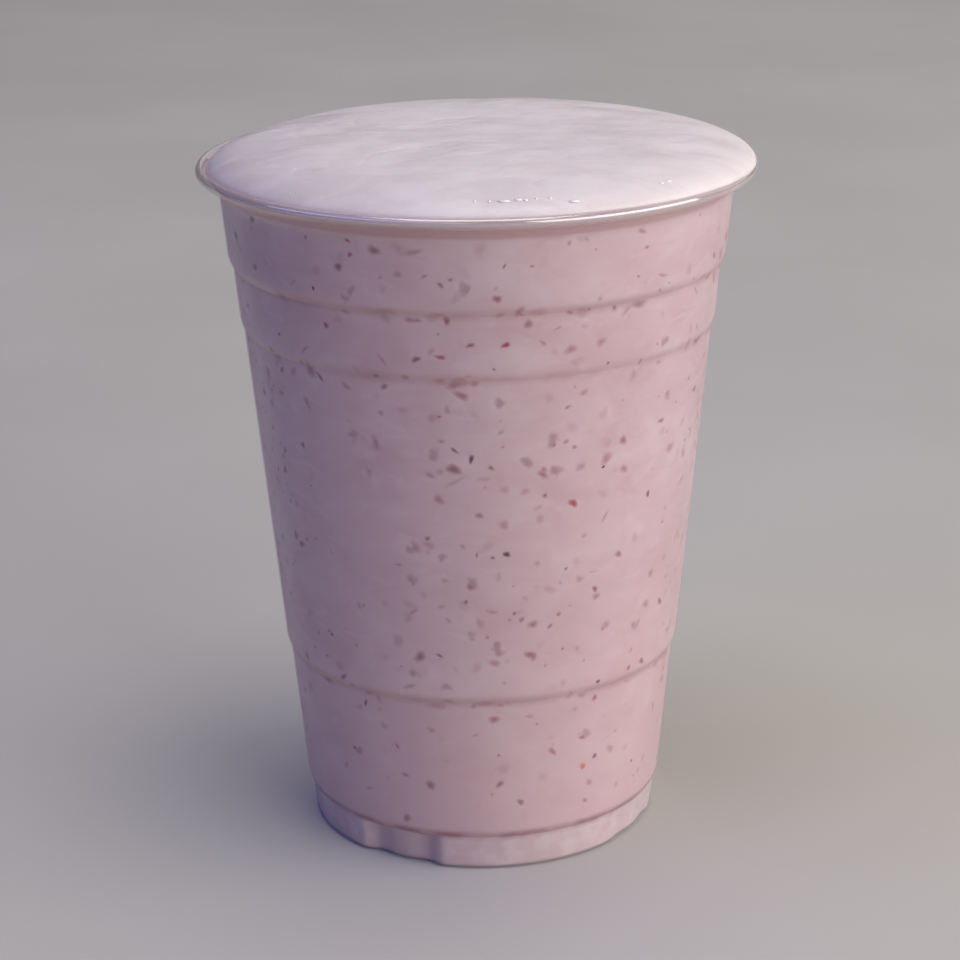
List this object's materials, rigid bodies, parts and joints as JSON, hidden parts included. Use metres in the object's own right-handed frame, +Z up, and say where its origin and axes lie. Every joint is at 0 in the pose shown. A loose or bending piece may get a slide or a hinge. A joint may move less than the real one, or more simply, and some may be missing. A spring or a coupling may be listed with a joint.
{
  "type": "strawberry smoothie",
  "caption": "Pink fruit smoothie filling a clear stepped takeaway cup to the brim, with a low froth dome resting on the rolled rim",
  "frame": {"origin": "centre of the foot ring, on the surface the cup stands on", "axes": "+Z up along the cup's axis, -Y towards the pictured front, +X to the right seen from the front"},
  "size_m": [0.095, 0.095, 0.1234],
  "materials": {
    "cup_plastic": "clear, slightly milky, glossy",
    "smoothie": "opaque milky pink drink with fruit flecks",
    "froth": "fine pale foam, softly wet"
  },
  "bodies": {
    "root": {"cup": "cup_plastic", "smoothie": "smoothie", "froth": "froth"}
  },
  "joints": []
}
